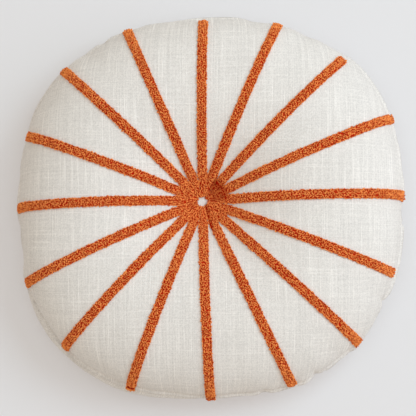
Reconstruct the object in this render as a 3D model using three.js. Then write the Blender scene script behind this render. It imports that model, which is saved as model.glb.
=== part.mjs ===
// A round filled cushion with a tuft through its middle and sixteen raised loop-pile stripes on its face.
// Lengths are in millimetres. X runs to the right across the face and Y to its top. Z runs up from the surface
// that the cushion lies on, and the origin is on that surface under the middle of the cushion's outline.
import * as THREE from "three";

const { degToRad, euclideanModulo } = THREE.MathUtils;
const TURN = Math.PI * 2;

// The outline of the edge seam, seen from above
const RIM_RADIUS = 223.5; // mean distance of the seam from the middle
const SQUARING = 6.7; // the seam lies this much further out on the bias, and nearer along the yarns
const STRETCH = { by: 2.7, towards: 24 }; // and this much further out in this direction, in degrees
const TUFT = { x: -8.8, y: 5.9 }; // where the tufting stitch goes through, off the middle
const SEAM_RIDGE = 1.2; // how far the sewn edge stands out

// The two panels, pushed out by the filling and pulled in by the stitch
const SEAM_HEIGHT = 56;
const FACE = { rise: 74, tuftDepth: 64, tuftSpread: 0.36, crowding: 1.28, rings: 24 };
const BACK = { rise: 69, tuftDepth: 36, tuftSpread: 0.26, crowding: 1.2, rings: 15 };
const DOME = { fullness: 2.6, shoulder: 2.1 }; // powers of the flattened dome that a filled panel makes
const TUFT_POWER = 1.5; // how pointed the hollow at the stitch is
const SEGMENTS = 112;

// The side of the back panel bulges past the seam, a little all round and more in two directions, in degrees
const LEAST_BULGE = 4;
const BULGES = [
  { towards: 240, extra: 9, spread: 30 },
  { towards: 140, extra: 4, spread: 35 },
];

// Folds: shallow gathers that start at the tuft, and short puckers at the seam
const GATHER = { peak: 50, steepest: 0.2 }; // where it is deepest, from the stitch, and its depth over its width
const PUCKER = { width: 0.13, faceReach: 34, backReach: 22 }; // width as a share of a sector

// The stripes
const STRIPE = { width: 12, height: 3, lift: 0.4, between: 0.6, end: FACE.rings - 0.2 };

// A row for each stripe and for the sector that follows it clockwise: the stripe's direction from the tuft in
// degrees, the depth of the gather in the middle of the sector, the depth of the pucker at the seam, and where
// the pucker lies as a share of the sector.
const SECTORS = [
  { aim: 89.7, gather: 1.2, pucker: 0.6, at: 0.6 },
  { aim: 66.7, gather: 2.6, pucker: 2.8, at: 0.4 },
  { aim: 44.9, gather: 1.6, pucker: 0.4, at: 0.5 },
  { aim: 23.5, gather: 2.2, pucker: 1.0, at: 0.65 },
  { aim: 1.4, gather: 1.8, pucker: 2.4, at: 0.2 },
  { aim: -21.1, gather: 1.4, pucker: 2.6, at: 0.37 },
  { aim: -42.5, gather: 2.8, pucker: 3.2, at: 0.32 },
  { aim: -64.1, gather: 1.2, pucker: 1.5, at: 0.65 },
  { aim: -87.7, gather: 1.0, pucker: 1.4, at: 0.5 },
  { aim: -111.2, gather: 1.4, pucker: 0.4, at: 0.5 },
  { aim: -133.2, gather: 1.0, pucker: 0.4, at: 0.4 },
  { aim: -154.9, gather: 1.2, pucker: 2.6, at: 0.55 },
  { aim: -177.8, gather: 1.6, pucker: 0.6, at: 0.4 },
  { aim: -200.4, gather: 1.0, pucker: 0.8, at: 0.6 },
  { aim: -223.2, gather: 1.6, pucker: 2.8, at: 0.4 },
  { aim: -246.1, gather: 1.0, pucker: 0.6, at: 0.5 },
];

const CLOTH = new THREE.MeshStandardMaterial({ color: 0xe8e4da, roughness: 0.95, metalness: 0 });
const YARN = new THREE.MeshStandardMaterial({ color: 0xd2622b, roughness: 0.9, metalness: 0 });

// The seam's distance from the tuft in direction a, in radians.
function reach(a) {
  const tuftOffset = TUFT.x * Math.cos(a) + TUFT.y * Math.sin(a);
  const stretch = STRETCH.by * Math.cos(2 * (a - degToRad(STRETCH.towards)));
  return RIM_RADIUS - SQUARING * Math.cos(4 * a) + stretch - tuftOffset;
}

// The angle between one stripe and the next clockwise, in radians.
function sectorAngle(i) {
  const next = SECTORS[(i + 1) % SECTORS.length];
  return euclideanModulo(degToRad(SECTORS[i].aim - next.aim), TURN);
}

// The sector that direction a lies in, its angle, and how far across it a is, from 0 to 1.
function sectorAt(a) {
  for (let i = 0; i < SECTORS.length; i++) {
    const angle = sectorAngle(i);
    const past = euclideanModulo(degToRad(SECTORS[i].aim) - a, TURN);
    if (past <= angle) return { ...SECTORS[i], angle, across: past / angle };
  }
}

// How deep a gather is at distance r from the tuft. It runs in the bare cloth between two stripes only.
function gatherDepth({ gather, angle, across }, r) {
  const bare = r * angle - STRIPE.width;
  const past = r * angle * across - STRIPE.width / 2;
  if (past <= 0 || past >= bare) return 0;
  const share = r / GATHER.peak;
  const deepest = Math.min(gather * (share * Math.exp(1 - share)) ** 2, bare * GATHER.steepest);
  return deepest * Math.sin((Math.PI * past) / bare) ** 2;
}

// How far the skin is drawn in by gathers and puckers, at share f of the way from the tuft to the seam.
function drawnIn(f, a, puckerReach) {
  const sector = sectorAt(a);
  const fromSeam = ((1 - f) * reach(a)) / puckerReach;
  const fromMiddle = (sector.across - sector.at) / PUCKER.width;
  return gatherDepth(sector, f * reach(a)) + sector.pucker * Math.exp(-(fromMiddle ** 2) - fromSeam ** 2);
}

// How far the side of the back panel bulges in direction a.
function bulge(a) {
  const extras = BULGES.map(({ towards, extra, spread }) => {
    const off = euclideanModulo(a - degToRad(towards) + Math.PI, TURN) - Math.PI;
    return extra * Math.exp(-((off / degToRad(spread)) ** 2));
  });
  return extras.reduce((sum, extra) => sum + extra, LEAST_BULGE);
}

// How far a filled panel stands off the seam's level, at share f.
function panelRise(panel, f) {
  const dome = panel.rise * (1 - f ** DOME.fullness) ** (1 / DOME.shoulder);
  return dome - panel.tuftDepth * Math.exp(-((f / panel.tuftSpread) ** TUFT_POWER));
}

// A point of the skin at a whole ring: 0 is the stitch in the face, FACE.rings the seam, and the last the back's.
function ringPoint(ring, a) {
  const onFace = ring <= FACE.rings;
  const panel = onFace ? FACE : BACK;
  const share = onFace ? ring / FACE.rings : (FACE.rings + BACK.rings - ring) / BACK.rings;
  const f = Math.sin((Math.PI / 2) * share ** panel.crowding);
  const rise = panelRise(panel, f);
  const fold = drawnIn(f, a, onFace ? PUCKER.faceReach : PUCKER.backReach);
  const lean = (Math.PI / 2) * f ** 4; // the folds sink down on top of a panel and inwards at its side
  let r = f * reach(a) - fold * Math.sin(lean);
  let z = onFace ? SEAM_HEIGHT + rise - fold * Math.cos(lean) : Math.max(0, SEAM_HEIGHT - rise);
  if (ring === FACE.rings) r += SEAM_RIDGE;
  if (!onFace) {
    const down = 1 - z / SEAM_HEIGHT;
    r += f * bulge(a) * 4 * down * (1 - down);
  }
  return new THREE.Vector3(TUFT.x + r * Math.cos(a), TUFT.y + r * Math.sin(a), z);
}

// A point of the faceted skin at any ring, whole or not.
function skin(ring, a) {
  const whole = Math.floor(ring);
  if (ring === whole) return ringPoint(whole, a);
  return ringPoint(whole, a).lerp(ringPoint(whole + 1, a), ring - whole);
}

function skinNormal(ring, a) {
  const outwards = skin(ring + 0.1, a).sub(skin(ring - 0.1, a));
  const sideways = skin(ring, a + 0.01).sub(skin(ring, a - 0.01));
  return outwards.cross(sideways).normalize();
}

// Puts each vertex where place(x, y, z, u, v) says, from its position and its uv.
function reshape(geometry, place) {
  const { position, uv } = geometry.attributes;
  for (let i = 0; i < position.count; i++) {
    const p = place(position.getX(i), position.getY(i), position.getZ(i), uv.getX(i), uv.getY(i));
    position.setXYZ(i, p.x, p.y, p.z);
  }
  geometry.computeVertexNormals();
  return geometry;
}

// The filled cover: a lathe of plain rings, each moved to the cushion's true form.
function cushion() {
  const rings = FACE.rings + BACK.rings;
  const profile = Array.from({ length: rings + 1 }, (_, ring) => {
    const p = ringPoint(rings - ring, 0);
    return new THREE.Vector2(ring % rings ? p.x - TUFT.x : 0, p.z);
  });
  const geometry = reshape(new THREE.LatheGeometry(profile, SEGMENTS), (x, y, z, u, v) =>
    ringPoint(Math.round((1 - v) * rings), u * TURN),
  );
  const mesh = new THREE.Mesh(geometry, CLOTH);
  mesh.name = "cushion";
  return mesh;
}

// The section of a stripe: half its width is 1 and its height is 1.
function stripeSection() {
  const section = new THREE.Shape();
  section.moveTo(-1, 0);
  section.lineTo(1, 0);
  section.lineTo(1, 0.5);
  section.lineTo(0.55, 1);
  section.lineTo(-0.55, 1);
  section.lineTo(-1, 0.5);
  return section;
}

// A straight band of that section, laid on the face along row i's direction. Where the stripes crowd together
// at the tuft each one narrows to a wedge.
function stripe(i) {
  const steps = Math.floor(STRIPE.end);
  const band = new THREE.ExtrudeGeometry(stripeSection(), { steps, depth: 1, bevelEnabled: false });
  const aim = degToRad(SECTORS[i].aim);
  const before = (i + SECTORS.length - 1) % SECTORS.length;
  const geometry = reshape(band, (x, y, z) => {
    const ring = Math.min(1 + Math.round(z * steps), STRIPE.end);
    const r = Math.hypot(skin(ring, aim).x - TUFT.x, skin(ring, aim).y - TUFT.y);
    const room = (x < 0 ? sectorAngle(i) : sectorAngle(before)) / 2 - STRIPE.between / 2 / r;
    const a = aim + x * Math.min(STRIPE.width / 2 / r, room);
    return skin(ring, a).addScaledVector(skinNormal(ring, a), STRIPE.lift + y * STRIPE.height);
  });
  const mesh = new THREE.Mesh(geometry, YARN);
  mesh.name = "stripe_" + String(i + 1).padStart(2, "0");
  return mesh;
}

const part = new THREE.Group();
part.add(cushion());
for (let i = 0; i < SECTORS.length; i++) part.add(stripe(i));

export default part;
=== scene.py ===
# %% [markdown]
# # A round tufted cushion
# The cushion is a cover of off-white slub cloth, filled, drawn in by one stitch a little off the middle,
# with sixteen stripes of raised orange loop pile. The solids already have its size and form, so they are
# loaded first, and each soft piece is made around one of them. All lengths in the scene are metres.

# %% Load the frame
import math
import random

import bmesh
import bpy
import numpy as np
from mathutils import Matrix, Vector, noise
from mathutils.bvhtree import BVHTree


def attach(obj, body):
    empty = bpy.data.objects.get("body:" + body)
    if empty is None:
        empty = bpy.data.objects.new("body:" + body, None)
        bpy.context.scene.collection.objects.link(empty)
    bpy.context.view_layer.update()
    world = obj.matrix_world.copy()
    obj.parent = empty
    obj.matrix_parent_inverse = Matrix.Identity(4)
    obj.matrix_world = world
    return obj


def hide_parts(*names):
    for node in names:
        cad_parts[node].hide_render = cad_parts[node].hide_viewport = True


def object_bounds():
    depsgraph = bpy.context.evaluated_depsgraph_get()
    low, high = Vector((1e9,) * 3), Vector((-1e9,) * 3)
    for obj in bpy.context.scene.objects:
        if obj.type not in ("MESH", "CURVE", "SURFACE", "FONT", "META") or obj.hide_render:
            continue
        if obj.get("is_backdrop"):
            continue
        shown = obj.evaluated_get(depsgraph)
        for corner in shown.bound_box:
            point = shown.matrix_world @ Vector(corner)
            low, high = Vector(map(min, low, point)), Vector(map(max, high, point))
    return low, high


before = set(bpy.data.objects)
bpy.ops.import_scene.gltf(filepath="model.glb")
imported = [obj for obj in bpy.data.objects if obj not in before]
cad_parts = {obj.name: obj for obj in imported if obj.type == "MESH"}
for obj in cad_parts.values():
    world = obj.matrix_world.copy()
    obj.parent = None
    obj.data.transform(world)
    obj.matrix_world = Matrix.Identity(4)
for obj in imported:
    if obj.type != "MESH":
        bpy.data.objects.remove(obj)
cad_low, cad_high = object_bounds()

MM = 0.001
TURN = 2 * math.pi
scene = bpy.context.scene
print("solids:", len(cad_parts), "size in mm:", [round(side / MM) for side in cad_high - cad_low])

# %% [markdown]
# ## Where things are
# The seam and the stripes are read from the solids, so that the soft pieces can't drift from them, and the
# tuft's place is given. Every place on the cushion is named by two angles from one point inside it, on the
# line through the tuft: the azimuth, seen from above, and the elevation, which runs from the tuft in the
# face through the seam to the back.

# %% Measure the solids
TUFT = Vector((-8.8, 5.9, 44.0)) * MM  # the point inside, on the line of the tufting stitch
SEAM_HEIGHT = 55.4 * MM
SAME_LEVEL = 0.2 * MM
WELL_OUT = 150 * MM  # further from the tuft than this there is nothing but the side at the seam's level


def corners(node):
    """The points of a solid, one row each."""
    return np.array([vertex.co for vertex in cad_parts[node].data.vertices])


def azimuth_of(points):
    return np.arctan2(points[:, 1] - TUFT.y, points[:, 0] - TUFT.x)


def plan_radius(points):
    """Distances from the tuft, seen from above."""
    return np.hypot(points[:, 0] - TUFT.x, points[:, 1] - TUFT.y)


solid_points = corners("cushion")
on_seam = solid_points[np.abs(solid_points[:, 2] - SEAM_HEIGHT) < SAME_LEVEL]
on_seam = on_seam[plan_radius(on_seam) > WELL_OUT]
seam_azimuth, seam_first = np.unique(np.round(azimuth_of(on_seam), 4), return_index=True)
seam_radius = plan_radius(on_seam)[seam_first]


def seam_at(azimuth):
    """The seam's distance from the tuft."""
    return np.interp(azimuth, seam_azimuth, seam_radius, period=TURN)


STRIPE_NODES = sorted(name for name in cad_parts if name.startswith("stripe"))
stripe_aims = [math.atan2(*(corners(node).mean(axis=0)[[1, 0]] - TUFT[:2][::-1])) for node in STRIPE_NODES]
print("seam points:", len(seam_azimuth))
print("stripes aim at:", [round(math.degrees(aim), 1) for aim in stripe_aims])

# %% [markdown]
# ## The filled cover
# A filled cover is taut cloth around a soft core. It could be sculpted, but a short cloth simulation with
# air pressure gives the right fullness by itself. The solid is copied, its loose triangles are joined, it
# is pulled in a little because it will swell, and a voxel remesh gives it even squares, which cloth
# needs.

# %% Copy and remesh the cover
SHRINK = 0.8 * MM
VOXEL = 5.3 * MM
WELD = 0.01 * MM
SMOOTHING = {"rounds": 3, "factor": 0.5}


def apply_modifiers(piece):
    """Makes what the modifiers do part of the mesh."""
    depsgraph = bpy.context.evaluated_depsgraph_get()
    finished = bpy.data.meshes.new_from_object(piece.evaluated_get(depsgraph))
    piece.modifiers.clear()
    piece.data = finished


def link(name, mesh):
    """Puts a mesh in the scene as a named piece."""
    piece = bpy.data.objects.new(name, mesh)
    scene.collection.objects.link(piece)
    return piece


def edit(piece, change):
    """Opens a piece's mesh as a bmesh, lets change(b) work on it, and writes it back."""
    b = bmesh.new()
    b.from_mesh(piece.data)
    change(b)
    b.to_mesh(piece.data)
    b.free()
    piece.data.update()


def smooth(b):
    axes = {"use_axis_x": True, "use_axis_y": True, "use_axis_z": True}
    for _ in range(SMOOTHING["rounds"]):
        bmesh.ops.smooth_vert(b, verts=b.verts, factor=SMOOTHING["factor"], **axes)


def join_and_pull_in(b):
    bmesh.ops.remove_doubles(b, verts=b.verts, dist=WELD)
    b.normal_update()
    for vertex in b.verts:
        vertex.co -= vertex.normal * SHRINK


cover = link("cushion_cover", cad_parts["cushion"].data.copy())
cover.data.materials.clear()
edit(cover, join_and_pull_in)
remesh = cover.modifiers.new("even squares", "REMESH")
remesh.mode = "VOXEL"
remesh.voxel_size = VOXEL
apply_modifiers(cover)
edit(cover, smooth)
print("cover after the remesh:", len(cover.data.vertices), "points")

# %% [markdown]
# The seam and the stitch hold the cloth where they are, the ring that the cushion rests on is pressed
# flat by its weight, and the stripes are stiffer than the bare cloth. So all of them are pinned, the
# stripes only in part. The air then pushes the bare cloth out between them. How far any point may move is
# capped, and none may sink under the floor, which keeps the cushion inside its solid's size.

# %% Fill the cover with air
FRAMES = 20
PRESSURE = 4.0
QUALITY = 5  # steps of the simulation in each frame
CAP = 5 * MM
NO_MOVE = 1e-9  # stands in for no move at all, which can't be divided by
HOLD = {"seam": 1.0, "tuft": 1.0, "rest": 0.8, "stripe": 0.4, "cloth": 0.05}
HOLD_REACH = {"seam": 7 * MM, "tuft": 16 * MM, "rest": 5 * MM, "stripe": 5.5 * MM}  # how far each is felt


def positions(piece):
    points = np.empty(len(piece.data.vertices) * 3)
    piece.data.vertices.foreach_get("co", points)
    return points.reshape(-1, 3)


def set_positions(piece, points):
    piece.data.vertices.foreach_set("co", points.ravel())
    piece.data.update()


def seam_distance(points):
    return np.hypot(plan_radius(points) - seam_at(azimuth_of(points)), points[:, 2] - SEAM_HEIGHT)


def off_stripe(points):
    """How far each point is from the middle of the nearest stripe, seen from above."""
    azimuths, radii = azimuth_of(points), plan_radius(points)
    turns = np.abs((azimuths[:, None] - np.array(stripe_aims) + math.pi) % TURN - math.pi)
    return radii * np.sin(np.minimum(turns.min(axis=1), math.pi / 2))


def bell(distance, width):
    """1 at distance 0, falling smoothly to nothing over about two widths."""
    return np.exp(-((distance / width) ** 2))


def hold_weights(points):
    """How firmly each point of the cloth is held, from 0 to 1."""
    on_face = points[:, 2] > SEAM_HEIGHT
    away = {"stripe": off_stripe(points), "rest": points[:, 2],
            "tuft": plan_radius(points), "seam": seam_distance(points)}
    weights = np.full(len(points), HOLD["cloth"])
    for place, distance in away.items():
        held = HOLD[place] * bell(distance, HOLD_REACH[place])
        weights = np.maximum(weights, held * on_face if place == "stripe" else held)
    return weights


def fill_with_air(piece):
    before = positions(piece)
    held = piece.vertex_groups.new(name="held")
    for index, weight in enumerate(hold_weights(before)):
        held.add([index], float(weight), "REPLACE")
    cloth = piece.modifiers.new("air", "CLOTH")
    cloth.settings.vertex_group_mass = held.name
    cloth.settings.use_pressure = True
    cloth.settings.uniform_pressure_force = PRESSURE
    cloth.settings.effector_weights.gravity = 0
    cloth.settings.quality = QUALITY
    cloth.collision_settings.use_collision = False
    cloth.point_cache.frame_start = 1
    cloth.point_cache.frame_end = FRAMES
    for step in range(1, FRAMES + 1):
        scene.frame_set(step)
    apply_modifiers(piece)
    piece.vertex_groups.clear()
    move = positions(piece) - before
    far = np.linalg.norm(move, axis=1, keepdims=True)
    capped = move * np.minimum(1, CAP / np.maximum(far, NO_MOVE))
    filled = before + capped
    filled[:, 2] = np.maximum(filled[:, 2], 0)
    set_positions(piece, filled)
    print("air moved the cloth by up to", round(far.max() / MM, 2), "mm")


fill_with_air(cover)

# %% [markdown]
# One subdivision rounds the squares. The seam and the stitch need finer squares than the rest, so the
# edges near them are cut once more before the sewing is shaped.

# %% Round the cover and cut finer squares where it is sewn
FINE_REACH = {"seam": 8 * MM, "tuft": 36 * MM}
FINE_ROUNDNESS = 0.6


def round_off(piece):
    rounding = piece.modifiers.new("rounding", "SUBSURF")
    rounding.levels = 1
    rounding.render_levels = 1
    apply_modifiers(piece)


def cut_finer(b):
    middles = np.array([(edge.verts[0].co + edge.verts[1].co) / 2 for edge in b.edges])
    at_tuft = (plan_radius(middles) < FINE_REACH["tuft"]) & (middles[:, 2] > SEAM_HEIGHT)
    near = (seam_distance(middles) < FINE_REACH["seam"]) | at_tuft
    edges = [edge for edge, inside in zip(b.edges, near) if inside]
    bmesh.ops.subdivide_edges(b, edges=edges, cuts=1, use_grid_fill=True, smooth=FINE_ROUNDNESS)


round_off(cover)
edit(cover, cut_finer)
print("cover rounded:", len(cover.data.vertices), "points")

# %% [markdown]
# ## The sewing
# The edge seam is a fine ridge with a soft trough on each side, where the two panels are pulled together.
# Cloth is longer round the edge than the seam is, so the spare length goes into short puckers, uneven
# from one to the next. The remesh rounded the edge off a little, so the cloth is first drawn out to the
# seam again. No filled rim is even, so the same move gives it its own outline, a few millimetres in or
# out. The rest is a push along the surface's normal, as a soft brush would make it.

# %% Shape the seam and the surface
SEAM = {"ridge": 2.2 * MM, "width": 1.5 * MM, "trough": 1.7 * MM, "away": 4.5 * MM, "spread": 2.6 * MM}
UNEVEN = {"height": 0.45 * MM, "size": 38 * MM}
RESTING = 0.4 * MM  # the cloth below this height lies flat
SEAM_BAND = 16 * MM  # how far above and below the seam the cloth follows it out
FADE_BELOW = 4  # below the seam the rim's own move dies away as this power of the band's
SIDE = {"height": 42 * MM, "band": 13 * MM}  # where the back's side is fullest
RIM = [  # directions and spreads in degrees; how much further out the seam and the back's side go, in mm
    {"towards": 263, "spread": 7, "seam": 0.5, "side": 1.0},
    {"towards": 250, "spread": 18, "seam": -0.5, "side": 4.5},
    {"towards": 217, "spread": 12, "seam": -3.5, "side": 3.5},
    {"towards": 197, "spread": 3.5, "seam": -2.5, "side": -2.5},
    {"towards": 188, "spread": 4, "seam": -1.7, "side": -1.7},
    {"towards": 169, "spread": 6, "seam": 1.8, "side": 1.8},
    {"towards": 149, "spread": 18, "seam": 4.0, "side": 3.5},
    {"towards": 105, "spread": 10, "seam": 3.3, "side": 3.0},
    {"towards": 73, "spread": 4, "seam": -1.5, "side": -1.5},
    {"towards": 58, "spread": 14, "seam": -2.6, "side": -2.6},
    {"towards": 51, "spread": 4, "seam": -1.6, "side": -1.6},
    {"towards": 303, "spread": 4, "seam": -1.5, "side": -1.5},
    {"towards": 324, "spread": 6, "seam": -1.8, "side": -1.8},
    {"towards": 358, "spread": 5, "seam": -1.2, "side": -1.2},
]
PUCKERS = [  # directions in degrees; depth, width and reach in from the seam in mm; a fullness is negative
    {"towards": 122, "depth": 3.0, "width": 5.0, "reach": 10},
    {"towards": -6.5, "depth": 2.0, "width": 3.0, "reach": 8},
    {"towards": -29.3, "depth": 2.4, "width": 3.5, "reach": 10},
    {"towards": -37.0, "depth": -1.5, "width": 12.0, "reach": 18},
    {"towards": -46.0, "depth": 1.6, "width": 5.0, "reach": 12},
    {"towards": -57.0, "depth": 2.0, "width": 2.5, "reach": 14},
    {"towards": -60.2, "depth": -3.2, "width": 8.0, "reach": 12},
    {"towards": -72.3, "depth": 3.0, "width": 6.0, "reach": 12},
]


def normals_of(piece):
    normals = np.empty(len(piece.data.vertices) * 3)
    piece.data.vertex_normals.foreach_get("vector", normals)
    return normals.reshape(-1, 3)


def surface_tree(piece):
    b = bmesh.new()
    b.from_mesh(piece.data)
    tree = BVHTree.FromBMesh(b)
    b.free()
    return tree


def direction(azimuth, elevation):
    flat = math.cos(elevation)
    return Vector((flat * math.cos(azimuth), flat * math.sin(azimuth), math.sin(elevation)))


def rim_move(points, at_seam):
    """How much further out the rim's uneven outline lies at each point."""
    above = points[:, 2] > SEAM_HEIGHT
    at_side = bell(points[:, 2] - SIDE["height"], SIDE["band"]) * ~above
    share = np.where(above, at_seam, at_seam ** FADE_BELOW)
    further = np.zeros(len(points))
    for row in RIM:
        off = (np.degrees(azimuth_of(points)) - row["towards"] + 180) % 360 - 180
        further += (row["seam"] * share + row["side"] * at_side) * bell(off, row["spread"]) * MM
    return further


def reach_seam(piece):
    """Draws the cloth near the seam outwards to the seam, and gives the rim its uneven outline."""
    tree = surface_tree(piece)
    middle = Vector((TUFT.x, TUFT.y, SEAM_HEIGHT))
    reached = np.array([tree.ray_cast(middle, direction(azimuth, 0))[3] for azimuth in seam_azimuth])
    points = positions(piece)
    short = np.interp(azimuth_of(points), seam_azimuth, seam_radius - reached, period=TURN)
    at_seam = bell(points[:, 2] - SEAM_HEIGHT, SEAM_BAND)
    further = short * at_seam + rim_move(points, at_seam)
    points[:, :2] += (points[:, :2] - np.array(TUFT[:2])) * (further / plan_radius(points))[:, None]
    set_positions(piece, points)
    print("the cloth was short of the seam by", round(float(short.mean()) / MM, 1), "mm")


def pucker_push(points):
    """How far each point sinks into the puckers at the seam."""
    push = np.zeros(len(points))
    for pucker in PUCKERS:
        aside = plan_radius(points) * np.sin(azimuth_of(points) - math.radians(pucker["towards"]))
        ahead = np.cos(azimuth_of(points) - math.radians(pucker["towards"])) > 0
        near = bell(aside, pucker["width"] * MM) * bell(seam_distance(points), pucker["reach"] * MM)
        push += pucker["depth"] * MM * near * ahead
    return push


def shape_sewing(piece):
    reach_seam(piece)
    points, normals = positions(piece), normals_of(piece)
    apart = seam_distance(points)
    push = SEAM["ridge"] * bell(apart, SEAM["width"])
    push -= SEAM["trough"] * bell(apart - SEAM["away"], SEAM["spread"])
    push += np.array([noise.noise(Vector(point) / UNEVEN["size"]) for point in points]) * UNEVEN["height"]
    push -= pucker_push(points)
    push[points[:, 2] < RESTING] = 0
    set_positions(piece, points + normals * push[:, None])


shape_sewing(cover)
cover.data.shade_smooth()

# %% [markdown]
# ## The weave's map
# The cloth is cut flat and bends round the filling without stretching, so its yarns keep their spacing
# along the surface. The map gives each point its distance from the stitch along the cloth, in the point's
# own direction. It is measured by rays from inside the cushion, once for the face panel and once for the
# back one.

# %% Measure the cloth from the stitch
RAY_AZIMUTHS = 72
RAY_ELEVATIONS = 241
cover_tree = surface_tree(cover)
ray_azimuths = np.linspace(-math.pi, math.pi, RAY_AZIMUTHS + 1)
ray_elevations = np.linspace(math.pi / 2, -math.pi / 2, RAY_ELEVATIONS)


def rays_to_cover(azimuth):
    """Where the rays in one direction meet the cover, from the face to the back."""
    return [cover_tree.ray_cast(TUFT, direction(azimuth, elevation))[0] for elevation in ray_elevations]


hits = np.array([rays_to_cover(azimuth) for azimuth in ray_azimuths])
steps = np.linalg.norm(np.diff(hits, axis=1), axis=2)
from_face = np.concatenate([np.zeros((len(hits), 1)), np.cumsum(steps, axis=1)], axis=1)
from_back = from_face[:, -1:] - from_face


def between_rays(table, azimuths, elevations):
    """Reads a table of the rays at any angles, by blending its four nearest entries."""
    row = (azimuths + math.pi) / TURN * RAY_AZIMUTHS
    column = (math.pi / 2 - elevations) / math.pi * (RAY_ELEVATIONS - 1)
    i = np.clip(row.astype(int), 0, RAY_AZIMUTHS - 1)
    j = np.clip(column.astype(int), 0, RAY_ELEVATIONS - 2)
    down, across = row - i, column - j
    upper = table[i, j] * (1 - across) + table[i, j + 1] * across
    lower = table[i + 1, j] * (1 - across) + table[i + 1, j + 1] * across
    return upper * (1 - down) + lower * down


def elevation_of(points):
    return np.arctan2(points[:, 2] - TUFT.z, plan_radius(points))


def lay_weave(piece):
    """Writes the weave's map, in metres along the cloth, one panel at a time."""
    points = positions(piece)
    mesh = piece.data
    corner_vertex = np.empty(len(mesh.loops), int)
    mesh.loops.foreach_get("vertex_index", corner_vertex)
    face_height = np.array([polygon.center.z for polygon in mesh.polygons])
    corners_of_face = np.array([polygon.loop_total for polygon in mesh.polygons])
    on_face = np.repeat(face_height > SEAM_HEIGHT, corners_of_face)
    azimuths, elevations = azimuth_of(points), elevation_of(points)
    along_face = between_rays(from_face, azimuths, elevations)[corner_vertex]
    along_back = between_rays(from_back, azimuths, elevations)[corner_vertex]
    reach = np.where(on_face, along_face, along_back)
    turned = azimuths[corner_vertex]
    uv = np.stack([reach * np.cos(turned), reach * np.sin(turned)], axis=1)
    mesh.uv_layers.new(name="weave").data.foreach_set("uv", uv.ravel())


lay_weave(cover)
cloth_length = between_rays(from_face, np.zeros(1), np.zeros(1))[0]
print("cloth from stitch to seam:", round(cloth_length / MM), "mm")

# %% [markdown]
# ## One loop of pile
# The stripes are rows of small loops of thick yarn, set close together. One loop is made by spinning a
# four-sided ring half a turn. It has few faces, because it will be repeated thousands of times.

# %% Make one loop
LOOP = {"span": 2.0 * MM, "height": 2.6 * MM, "yarn": 0.52 * MM, "sides": 4, "steps": 4}


def loop_template():
    """Points and faces of one loop that stands on z = 0 and spans x."""
    b = bmesh.new()
    lying = Matrix.Translation((LOOP["span"] / 2, 0, 0))
    ring = bmesh.ops.create_circle(b, segments=LOOP["sides"], radius=LOOP["yarn"], matrix=lying)["verts"]
    half_turn = {"cent": (0, 0, 0), "axis": (0, -1, 0), "angle": math.pi, "steps": LOOP["steps"]}
    bmesh.ops.spin(b, geom=ring + b.edges[:], **half_turn)
    bmesh.ops.holes_fill(b, edges=[edge for edge in b.edges if edge.is_boundary], sides=LOOP["sides"])
    bmesh.ops.recalc_face_normals(b, faces=b.faces)
    bmesh.ops.scale(b, verts=b.verts, vec=(1, 1, (LOOP["height"] - LOOP["yarn"]) / (LOOP["span"] / 2)))
    b.verts.index_update()
    points = np.array([vertex.co for vertex in b.verts])
    faces = [[vertex.index for vertex in face.verts] for face in b.faces]
    b.free()
    return points, faces


loop_points, loop_faces = loop_template()
print("one loop:", len(loop_points), "points,", len(loop_faces), "faces")

# %% [markdown]
# ## The stripes
# Each stripe has a low backing band, where the yarn passes through the cloth, and its pile on top. The
# band is a grid that is laid on the cover, given an arched top and a thickness. The loops stand in rows
# on it, with their planes turned to one side and the other in turn, which gives the pile its chevron
# look. Every loop leans, turns and stands a little differently. The outer loops lie more along the edge
# and lean outwards, which keeps the edge neat and round. Where each stripe ends is given one by one,
# short of the seam or a little past it.

# %% Lay the stripes
STRIPE = {"half_width": 5.7 * MM, "apart": -0.6 * MM}
USUAL_END = 1.5  # how far from the seam a stripe ends, in mm along the cloth; less than 0 is past the seam
OTHER_ENDS = {  # the stripes that end elsewhere, by number
    1: 20, 2: 15, 3: 25, 4: -1, 6: 16, 8: 7, 9: -3, 10: -3, 11: 3, 12: 8, 13: 3, 14: 11, 15: 7,
}
BARE_SPOT = {"radius": 6.3 * MM, "stray": 0.7 * MM, "lower": 1.3 * MM}  # a little below the stitch
BAND = {  # its height in the middle and at the edge, how thick its skin is, and its grid
    "rise": 1.1 * MM, "edge": 0.35 * MM, "thickness": 0.25 * MM, "inset": 0.7 * MM,
    "across": 4, "step": 3 * MM,
}
PILE = {  # how far apart the loops are, and how far each strays from its place, its turn and upright
    "row": 1.65 * MM, "column": 1.9 * MM, "stray": 0.5 * MM,
    "turn": 45, "turn_stray": 38, "lean_stray": 20,
}
PILE_HEIGHT = {"low": 0.62, "high": 1.12, "edge": 0.72}  # of the loop's own height
EDGE_ROW = {"turn": 25, "turn_stray": 16, "stray": 0.25 * MM}
SPLAY = 0.55  # how far the outer loops lean outwards
ROOT = 0.4  # of the yarn's radius that is sunk in the band
half_sector = math.pi / len(STRIPE_NODES)


def stripe_rail(aim):
    """How far along the cloth from the stitch each ray meets it in a stripe's direction, and the seam."""
    along = between_rays(from_face, np.full(RAY_ELEVATIONS, aim), ray_elevations)
    seam_elevation = math.atan2(SEAM_HEIGHT - TUFT.z, seam_at(aim))
    return {"along": along, "seam": float(np.interp(-seam_elevation, -ray_elevations, along))}


def half_width_at(radius):
    """Near the stitch the stripes crowd together, so each narrows to a wedge."""
    return np.minimum(STRIPE["half_width"], radius * math.tan(half_sector) - STRIPE["apart"] / 2)


def arch_at(across):
    """How high the band stands off the cover at a share of its half width."""
    return BAND["edge"] + (BAND["rise"] - BAND["edge"]) * (1 - across ** 2)


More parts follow.
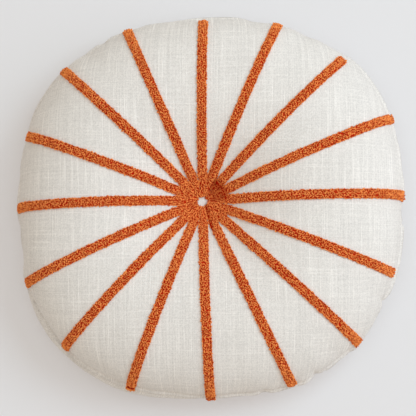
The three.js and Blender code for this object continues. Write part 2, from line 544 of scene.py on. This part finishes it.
def on_cover(aim, rail, along, across):
    """The cover's point and normal at a distance along a stripe, and a share of its half width across."""
    elevation = float(np.interp(along, rail["along"], ray_elevations))
    middle = cover_tree.ray_cast(TUFT, direction(aim, elevation))[0]
    radius = (middle - TUFT).xy.length
    azimuth = aim + across * float(half_width_at(radius)) / radius
    point, normal, _, _ = cover_tree.ray_cast(TUFT, direction(azimuth, elevation))
    return point, normal


def backing_band(aim, rail, first, last):
    """Points and faces of the band under the pile."""
    b = bmesh.new()
    rows = max(2, round((last - first) / BAND["step"]))
    bmesh.ops.create_grid(b, x_segments=BAND["across"], y_segments=rows, size=1)
    for vertex in b.verts:
        across = vertex.co.x * (1 - BAND["inset"] / STRIPE["half_width"])
        along = first + (vertex.co.y + 1) / 2 * (last - first)
        point, normal = on_cover(aim, rail, along, across)
        vertex.co = point + normal * arch_at(across)
    bmesh.ops.recalc_face_normals(b, faces=b.faces)
    bmesh.ops.solidify(b, geom=b.faces[:], thickness=BAND["thickness"])
    b.verts.index_update()
    points = np.array([vertex.co for vertex in b.verts])
    faces = [[vertex.index for vertex in face.verts] for face in b.faces]
    b.free()
    return points, faces


def loop_place(aim, rail, first, last, along, column, columns, width, chance):
    """Where one loop stands, how it is turned, leans and how tall it is, and the tone of its yarn."""
    habit = EDGE_ROW if column in (0, columns - 1) else PILE
    inset = 1 - LOOP["yarn"] / max(width, LOOP["yarn"] * 2)
    middle = (2 * (column + 0.5) / columns - 1) * inset
    stray = habit["stray"] / (width / 2)
    across = max(-1, min(1, middle + chance.uniform(-stray, stray)))
    reached = along + chance.uniform(-1, 1) * PILE["stray"] + (column % 2) * PILE["row"] / 2
    point, normal = on_cover(aim, rail, max(first, min(last, reached)), across)
    turn = habit["turn"] * (1 if column % 2 else -1) + chance.gauss(0, habit["turn_stray"])
    lean = chance.gauss(0, PILE["lean_stray"])
    lower_at_edge = 1 - (1 - PILE_HEIGHT["edge"]) * across ** 2
    tall = chance.uniform(PILE_HEIGHT["low"], PILE_HEIGHT["high"]) * lower_at_edge
    return {"point": point, "normal": normal, "level": direction(aim + math.radians(turn), 0),
            "lean": math.radians(lean), "across": across, "tall": tall, "tone": chance.random()}


def stripe_loops(aim, rail, first, last, chance):
    """The places of all the loops of a stripe, row by row."""
    places = []
    rows = round((last - first) / PILE["row"])
    for row in range(rows + 1):
        along = first + row * PILE["row"]
        foot, _ = on_cover(aim, rail, min(along, last), 0)
        width = 2 * float(half_width_at((foot - TUFT).xy.length))
        columns = max(1, round(width / PILE["column"]))
        for column in range(columns):
            places.append(loop_place(aim, rail, first, last, along, column, columns, width, chance))
    return places


def pile_arrays(aim, places):
    """The points of all the loops of a stripe, and how high in the pile each point is, from 0 to 1, which
    sets painted shade.
    """
    made, heights = [], []
    for place in places:
        normal, level, across = place["normal"], place["level"], place["across"]
        outwards = normal.cross(direction(aim, 0)).normalized()
        side = normal.cross(level).normalized()
        up = (normal + outwards * across * SPLAY + side * math.tan(place["lean"])).normalized()
        side = up.cross(level).normalized()
        axes = np.array([side.cross(up), side, up * place["tall"]])
        foot = place["point"] + normal * (arch_at(across) - LOOP["yarn"] * ROOT)
        made.append(loop_points @ axes + np.array(foot))
        # how high each point stands in the pile; the material darkens the yarn by it as painted shade
        heights.append(loop_points[:, 2] / LOOP["height"] * place["tall"] / PILE_HEIGHT["high"])
    return np.concatenate(made), np.concatenate(heights)


def make_stripe(number, node, aim):
    chance = random.Random(number)
    rail = stripe_rail(aim)
    bare = BARE_SPOT["radius"] - BARE_SPOT["lower"] * math.sin(aim)
    first = bare + chance.uniform(-1, 1) * BARE_SPOT["stray"]
    last = rail["seam"] - OTHER_ENDS.get(number, USUAL_END) * MM
    places = stripe_loops(aim, rail, first, last, chance)
    band_points, band_faces = backing_band(aim, rail, first, last)
    pile, painted_shade_heights = pile_arrays(aim, places)
    offsets = len(band_points) + np.arange(len(places)) * len(loop_points)
    pile_faces = [[corner + offset for corner in face]
                  for offset in offsets.tolist() for face in loop_faces]
    mesh = bpy.data.meshes.new(node)
    mesh.from_pydata(np.concatenate([band_points, pile]).tolist(), [], band_faces + pile_faces)
    # the band gets height 0, so the material paints it in full shade, dark like the gaps between the loops
    tones = np.repeat([place["tone"] for place in places], len(loop_points))
    for label, values in (("tone", tones), ("height", painted_shade_heights)):
        attribute = mesh.attributes.new(label, "FLOAT", "POINT")
        attribute.data.foreach_set("value", np.concatenate([np.zeros(len(band_points)), values]))
    mesh.shade_smooth()
    return link(node.replace("stripe", "pile_stripe"), mesh)


numbered = enumerate(zip(STRIPE_NODES, stripe_aims), 1)
stripes = [make_stripe(number, node, aim) for number, (node, aim) in numbered]
print("stripes:", len(stripes), "faces:", sum(len(stripe.data.polygons) for stripe in stripes))

# %% [markdown]
# ## The hollow at the stitch
# The stitch is pulled tighter on one side, so the hollow has a steep pocket at the upper right and a few
# sharp creases. They cross the stripes, which sink with the cloth. So they are pressed in last, straight
# down, into the cover and the stripes alike.

# %% Press the pocket and the creases in
POCKET = {  # its sides as directions in degrees, and how soft each is
    "from": 4, "from_soft": 8, "to": 58, "to_soft": 2.5,
    "lip": 27 * MM, "lip_soft": 1.2 * MM, "depth": 15 * MM, "spared": 7 * MM,
}
CREASES = [  # each end as a direction in degrees and a distance in mm from the tuft; depth and width in mm
    {"from": (62, 13), "to": (55, 30), "depth": 3.5, "width": 1.8},
    {"from": (55, 30), "to": (22, 29), "depth": 3.5, "width": 1.8},
    {"from": (-58, 8), "to": (-72, 36), "depth": 6.0, "width": 2.0},
]


def ease(distance):
    """0 far below zero and 1 far above it, with a smooth step between."""
    return 0.5 + 0.5 * np.tanh(distance)


def seen_from_above(towards, away):
    """A place by its direction in degrees and its distance in mm from the tuft."""
    return np.array([math.cos(math.radians(towards)), math.sin(math.radians(towards))]) * away * MM


def crease_depth(flat):
    """How deep the creases are at points seen from above."""
    depth = np.zeros(len(flat))
    for crease in CREASES:
        start, end = seen_from_above(*crease["from"]), seen_from_above(*crease["to"])
        run = end - start
        share = np.clip(((flat - start) @ run) / (run @ run), 0, 1)
        apart = np.linalg.norm(flat - start - share[:, None] * run, axis=1)
        depth = np.maximum(depth, crease["depth"] * MM * bell(apart, crease["width"] * MM))
    return depth


def pocket_depth(points):
    turned, radii = np.degrees(azimuth_of(points)), plan_radius(points)
    after = ease((turned - POCKET["from"]) / POCKET["from_soft"])
    before = ease((POCKET["to"] - turned) / POCKET["to_soft"])
    inwards = ease((POCKET["lip"] - radii) / POCKET["lip_soft"]) * (1 - bell(radii, POCKET["spared"]))
    return POCKET["depth"] * after * before * inwards


def press_in(piece):
    """Presses the face of a piece straight down, and gives how far its deepest point went."""
    points = positions(piece)
    depth = crease_depth(points[:, :2] - np.array(TUFT[:2])) + pocket_depth(points)
    depth[points[:, 2] <= SEAM_HEIGHT] = 0
    points[:, 2] -= depth
    set_positions(piece, points)
    return depth.max()


deepest = max(press_in(piece) for piece in (cover, *stripes))
print("hollow pressed in by up to", round(deepest / MM, 1), "mm")

# %% [markdown]
# ## Materials
# A material is a small network of nodes. One helper adds a node and either sets or links each of its
# inputs.

# %% Node helper


def put(tree, kind, inputs=None, **settings):
    """Adds a node with its settings, and sets or links its inputs."""
    made = tree.nodes.new(kind)
    for name, value in settings.items():
        setattr(made, name, value)
    for key, value in (inputs or {}).items():
        if isinstance(value, bpy.types.NodeSocket):
            tree.links.new(value, made.inputs[key])
        else:
            made.inputs[key].default_value = value
    return made


def maths(tree, operation, *values):
    return put(tree, "ShaderNodeMath", dict(enumerate(values)), operation=operation).outputs[0]


def new_group(name, inputs, outputs):
    """An empty node group with its sockets. Gives the tree, its inputs and its output node."""
    tree = bpy.data.node_groups.new(name, "ShaderNodeTree")
    for label, kind, value in inputs:
        socket = tree.interface.new_socket(label, in_out="INPUT", socket_type="NodeSocket" + kind)
        if value is not None:
            socket.default_value = value
    for label, kind in outputs:
        tree.interface.new_socket(label, in_out="OUTPUT", socket_type="NodeSocket" + kind)
    return tree, tree.nodes.new("NodeGroupInput").outputs, tree.nodes.new("NodeGroupOutput")


def blend_colors(tree, factor, first, second):
    return put(tree, "ShaderNodeMix", {"Factor": factor, 6: first, 7: second}, data_type="RGBA").outputs[2]


def bump_normal(tree, height, bump):
    """A normal from heights, with the strength and distance of a table."""
    inputs = {"Height": height, "Strength": bump["strength"], "Distance": bump["distance"]}
    return put(tree, "ShaderNodeBump", inputs).outputs[0]


def set_finish(shader, finish):
    """Sets the shader's own numbers, which are the same all over the surface."""
    for name, value in finish.items():
        shader.inputs[name].default_value = value


def new_material(name):
    """A material with nothing in it but its shader. Gives the material, its tree and the shader."""
    material = bpy.data.materials.new(name)
    material.use_nodes = True
    return material, material.node_tree, material.node_tree.nodes["Principled BSDF"]


# %% [markdown]
# Slub cloth is a plain weave whose yarns are thick in some places and thin in others. Seen from a step
# away, the thick lengths show as pale streaks, most of them along the warp. So the group makes one system
# of yarns from noise that is drawn out along the yarn, and is placed twice, once for the warp and once
# for the weft.

# %% Yarn system group
SLUB_NOISE = {"Scale": 0.62, "Detail": 2.0, "Roughness": 0.55}
SLUB_LIMITS = {"From Min": 0.54, "From Max": 0.72}  # where in that noise a yarn thickens, and is thick
TONE_NOISE = {"Scale": 0.83, "Detail": 1.0}
TONE_STRETCH = 0.35  # a yarn's tone changes this much more slowly along it than its thickness does


def build_yarns():
    inputs = [("Across", "Float", 0.0), ("Along", "Float", 0.0), ("Pitch", "Float", 1.0),
              ("Slub Length", "Float", 60.0), ("Seed", "Float", 0.0)]
    outputs = [("Tone", "Float"), ("Slub", "Float"), ("Round", "Float"), ("Yarn", "Float")]
    tree, given, result = new_group("slub_yarns", inputs, outputs)
    number = maths(tree, "DIVIDE", given["Across"], given["Pitch"])
    run = maths(tree, "DIVIDE", given["Along"], given["Slub Length"])
    place = put(tree, "ShaderNodeCombineXYZ", {"X": number, "Y": run, "Z": given["Seed"]}).outputs[0]
    thickness = put(tree, "ShaderNodeTexNoise", {"Vector": place, **SLUB_NOISE}).outputs["Fac"]
    slub = put(tree, "ShaderNodeMapRange", {"Value": thickness, **SLUB_LIMITS},
               interpolation_type="SMOOTHSTEP").outputs[0]
    whole = maths(tree, "FLOOR", number)
    long_run = maths(tree, "MULTIPLY", run, TONE_STRETCH)
    on_yarn = put(tree, "ShaderNodeCombineXYZ", {"X": whole, "Y": long_run, "Z": given["Seed"]}).outputs[0]
    tone = put(tree, "ShaderNodeTexNoise", {"Vector": on_yarn, **TONE_NOISE}).outputs["Fac"]
    angle = maths(tree, "MULTIPLY", number, math.pi)
    rounded = maths(tree, "ABSOLUTE", maths(tree, "SINE", angle))
    tree.links.new(tone, result.inputs["Tone"])
    tree.links.new(slub, result.inputs["Slub"])
    tree.links.new(rounded, result.inputs["Round"])
    tree.links.new(whole, result.inputs["Yarn"])
    return tree


yarns = build_yarns()

# %% [markdown]
# The cover's material puts the two systems together. The warp is the stronger one. The pale streaks are
# both lighter and a little raised. A faint cloudiness keeps the colour from looking printed.

# %% Cover material
CLOTH = {"shade": (0.525, 0.490, 0.452, 1), "pale": (0.97, 0.91, 0.84, 1)}
TONE_SHARE = {
    "warp": 0.40, "weft": 0.28, "warp slub": 0.27, "weft slub": 0.15, "grain": 0.30, "cloud": 0.10,
}
SYSTEMS = {
    "warp": {"across": "X", "along": "Y", "pitch": 0.95 * MM, "slub": 42 * MM, "seed": 3.0},
    "weft": {"across": "Y", "along": "X", "pitch": 1.05 * MM, "slub": 34 * MM, "seed": 11.0},
}
CLOUD = {"Scale": 18.0, "Detail": 2.0}
CLOTH_BUMP = {"yarns": 0.3, "slubs": 0.5, "strength": 0.5, "distance": 0.4 * MM}
CLOTH_FINISH = {"Roughness": 0.95, "Sheen Weight": 0.15, "Sheen Roughness": 0.5, "Specular IOR Level": 0.2}


def place_yarns(tree, parts, across, along, pitch, slub, seed):
    """Puts one system of yarns in the cloth and gives its outputs."""
    system = put(tree, "ShaderNodeGroup", node_tree=yarns)
    tree.links.new(parts[across], system.inputs["Across"])
    tree.links.new(parts[along], system.inputs["Along"])
    system.inputs["Pitch"].default_value = pitch
    system.inputs["Slub Length"].default_value = slub
    system.inputs["Seed"].default_value = seed
    return system.outputs


def crossing_grain(tree, warp, weft):
    """A tone of its own for each crossing of two yarns."""
    place = put(tree, "ShaderNodeCombineXYZ", {"X": warp["Yarn"], "Y": weft["Yarn"]}).outputs[0]
    return put(tree, "ShaderNodeTexWhiteNoise", {"Vector": place}, noise_dimensions="2D").outputs["Value"]


def cloth_tone(tree, warp, weft):
    """How pale the cloth is, from all that makes it vary."""
    cloud_place = put(tree, "ShaderNodeTexCoord").outputs["Object"]
    cloud = put(tree, "ShaderNodeTexNoise", {"Vector": cloud_place, **CLOUD}).outputs["Fac"]
    shares = {"warp": warp["Tone"], "weft": weft["Tone"],
              "warp slub": warp["Slub"], "weft slub": weft["Slub"],
              "grain": crossing_grain(tree, warp, weft), "cloud": cloud}
    light = None
    for kind, value in shares.items():
        share = maths(tree, "MULTIPLY", value, TONE_SHARE[kind])
        light = maths(tree, "ADD", light, share) if light else share
    return light


def cloth_bump(tree, warp, weft):
    rounds = maths(tree, "ADD", warp["Round"], weft["Round"])
    slubs = maths(tree, "ADD", warp["Slub"], weft["Slub"])
    raised = maths(tree, "MULTIPLY", slubs, CLOTH_BUMP["slubs"])
    height = maths(tree, "ADD", maths(tree, "MULTIPLY", rounds, CLOTH_BUMP["yarns"]), raised)
    return bump_normal(tree, height, CLOTH_BUMP)


def cover_material():
    material, tree, shader = new_material("slub cloth")
    uv = put(tree, "ShaderNodeUVMap", uv_map="weave").outputs[0]
    parts = put(tree, "ShaderNodeSeparateXYZ", {0: uv}).outputs
    warp = place_yarns(tree, parts, **SYSTEMS["warp"])
    weft = place_yarns(tree, parts, **SYSTEMS["weft"])
    color = blend_colors(tree, cloth_tone(tree, warp, weft), CLOTH["shade"], CLOTH["pale"])
    tree.links.new(color, shader.inputs["Base Color"])
    tree.links.new(cloth_bump(tree, warp, weft), shader.inputs["Normal"])
    set_finish(shader, CLOTH_FINISH)
    return material


cover.data.materials.append(cover_material())

# %% [markdown]
# The pile's yarn is dyed through, but each loop takes the light in its own way. The loop's own tone and
# its height in the pile come from attributes that the stripes carry. The height paints shade: the yarn is
# darker towards the foot of each loop, and the band between the loops is painted in full shade. Fine noise
# stands for the fibres.

# %% Pile material
# the dark colour is both the dye's dark end and painted shade, where the yarn lies deep in the pile
PILE_COLOR = {"deep": (0.52, 0.018, 0.001, 1), "bright": (1.0, 0.345, 0.09, 1)}
PILE_TONE_AND_SHADE = {"loop": 1.3, "fibres": 2.0, "less": 0.58, "painted_shade_power": 0.5}  # the pile's height paints shade: lower in the pile is darker
FIBRES = {"Scale": 900.0, "Detail": 3.0}
PILE_BUMP = {"strength": 0.6, "distance": 0.2 * MM}
PILE_FINISH = {"Roughness": 0.9, "Specular IOR Level": 0.08}


def pile_tone_and_painted_shade(tree, fibres):
    """How bright the yarn is, from its loop and its fibres, with painted shade from its height in the
    pile.
    """
    tone = put(tree, "ShaderNodeAttribute", attribute_name="tone").outputs["Fac"]
    height = put(tree, "ShaderNodeAttribute", attribute_name="height").outputs["Fac"]
    of_loop = maths(tree, "MULTIPLY", tone, PILE_TONE_AND_SHADE["loop"])
    of_fibres = maths(tree, "MULTIPLY", fibres, PILE_TONE_AND_SHADE["fibres"])
    dye = maths(tree, "SUBTRACT", maths(tree, "ADD", of_loop, of_fibres), PILE_TONE_AND_SHADE["less"])
    return maths(tree, "MULTIPLY", dye, maths(tree, "POWER", height, PILE_TONE_AND_SHADE["painted_shade_power"]))


def pile_material():
    material, tree, shader = new_material("loop pile")
    place = put(tree, "ShaderNodeTexCoord").outputs["Object"]
    fibres = put(tree, "ShaderNodeTexNoise", {"Vector": place, **FIBRES}).outputs["Fac"]
    color = blend_colors(tree, pile_tone_and_painted_shade(tree, fibres), PILE_COLOR["deep"], PILE_COLOR["bright"])
    tree.links.new(color, shader.inputs["Base Color"])
    tree.links.new(bump_normal(tree, fibres, PILE_BUMP), shader.inputs["Normal"])
    set_finish(shader, PILE_FINISH)
    return material


pile = pile_material()
for stripe in stripes:
    stripe.data.materials.append(pile)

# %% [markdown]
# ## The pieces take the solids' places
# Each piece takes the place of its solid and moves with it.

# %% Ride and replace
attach(cover, "root")
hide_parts("cushion")
for stripe, node in zip(stripes, STRIPE_NODES):
    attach(stripe, "root")
    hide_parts(node)

# %% [markdown]
# ## The studio
# The cushion lies on a pale floor in a bright room. The floor is lit a little from below, like a light
# table, so the shadow beside the cushion stays pale. Two soft lights stand at the right, one low and one
# higher, and a third hangs above. The camera looks almost straight down, tipped a little towards the
# lower edge and the right.

# %% Floor
FLOOR_SIDE = 6.0
FLOOR_FINISH = {
    "Base Color": (0.55, 0.55, 0.55, 1), "Roughness": 0.9,
    "Emission Color": (1.0, 0.91, 0.887, 1), "Emission Strength": 0.222,
}


def make_floor():
    b = bmesh.new()
    bmesh.ops.create_grid(b, x_segments=1, y_segments=1, size=FLOOR_SIDE / 2)
    mesh = bpy.data.meshes.new("studio_floor")
    b.to_mesh(mesh)
    b.free()
    floor = link("studio_floor", mesh)
    material, _, shader = new_material("studio floor")
    set_finish(shader, FLOOR_FINISH)
    floor.data.materials.append(material)
    floor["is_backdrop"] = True


make_floor()

# %% Lights
LAMPS = [
    {"name": "low_light", "azimuth": 0, "elevation": 35, "power": 15.8, "color": (0.78, 0.82, 1.0)},
    {"name": "high_light", "azimuth": 30, "elevation": 50, "power": 36.5, "color": (0.665, 0.862, 1.0)},
    {"name": "top_light", "azimuth": 0, "elevation": 90, "power": 18.2, "color": (0.77, 0.89, 1.0)},
]
LAMP_AWAY = 3.0
LAMP_SIDE = 1.6
FILL = {"color": (1.0, 0.91, 0.794, 1), "strength": 0.558}


def hang_lamp(name, azimuth, elevation, power, color):
    """A square soft light that faces the cushion."""
    data = bpy.data.lights.new(name, "AREA")
    data.size = LAMP_SIDE
    data.energy = power
    data.color = color
    lamp = bpy.data.objects.new(name, data)
    lamp.location = direction(math.radians(azimuth), math.radians(elevation)) * LAMP_AWAY
    lamp.rotation_euler = (-lamp.location).to_track_quat("-Z", "Y").to_euler()
    scene.collection.objects.link(lamp)


def light_room():
    world = bpy.data.worlds.new("studio")
    world.use_nodes = True
    background = world.node_tree.nodes["Background"]
    background.inputs["Color"].default_value = FILL["color"]
    background.inputs["Strength"].default_value = FILL["strength"]
    scene.world = world


for lamp_row in LAMPS:
    hang_lamp(**lamp_row)
light_room()
scene.view_settings.view_transform = "Standard"

# %% Camera
PHOTO_SIDE = 416  # pixels
PIXEL = 1.142 * MM  # of the seam's plane
CUSHION_MIDDLE = (210.7, 206.7)  # pixels, from the photo's upper left corner
TILT = {"right": math.radians(2.0), "down": math.radians(4.75)}
CAMERA_AWAY = 2.4
SENSOR = 36.0


def make_camera():
    data = bpy.data.cameras.new("camera")
    data.sensor_width = SENSOR
    data.lens = SENSOR * CAMERA_AWAY / (PHOTO_SIDE * PIXEL)
    camera = bpy.data.objects.new("camera", data)
    scene.collection.objects.link(camera)
    off_x = (PHOTO_SIDE / 2 - CUSHION_MIDDLE[0]) * PIXEL
    off_y = (CUSHION_MIDDLE[1] - PHOTO_SIDE / 2) * PIXEL
    aim = Vector((off_x, off_y, SEAM_HEIGHT))
    back = Vector((math.tan(TILT["right"]), -math.tan(TILT["down"]), 1)).normalized()
    right = Vector((0, 1, 0)).cross(back).normalized()
    up = back.cross(right)
    turned = Matrix((right, up, back)).transposed()
    camera.matrix_world = Matrix.Translation(aim + back * CAMERA_AWAY) @ turned.to_4x4()
    scene.camera = camera


make_camera()

# %% [markdown]
# ## Sizes
# The dressed cushion should stay the size of its solids, so the differences between the two boxes are
# printed.

# %% Write the sizes and finish
low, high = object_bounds()
differences = [*(low - cad_low), *(high - cad_high)]
print("visual model less solids, in mm:", [round(difference / MM, 1) for difference in differences])
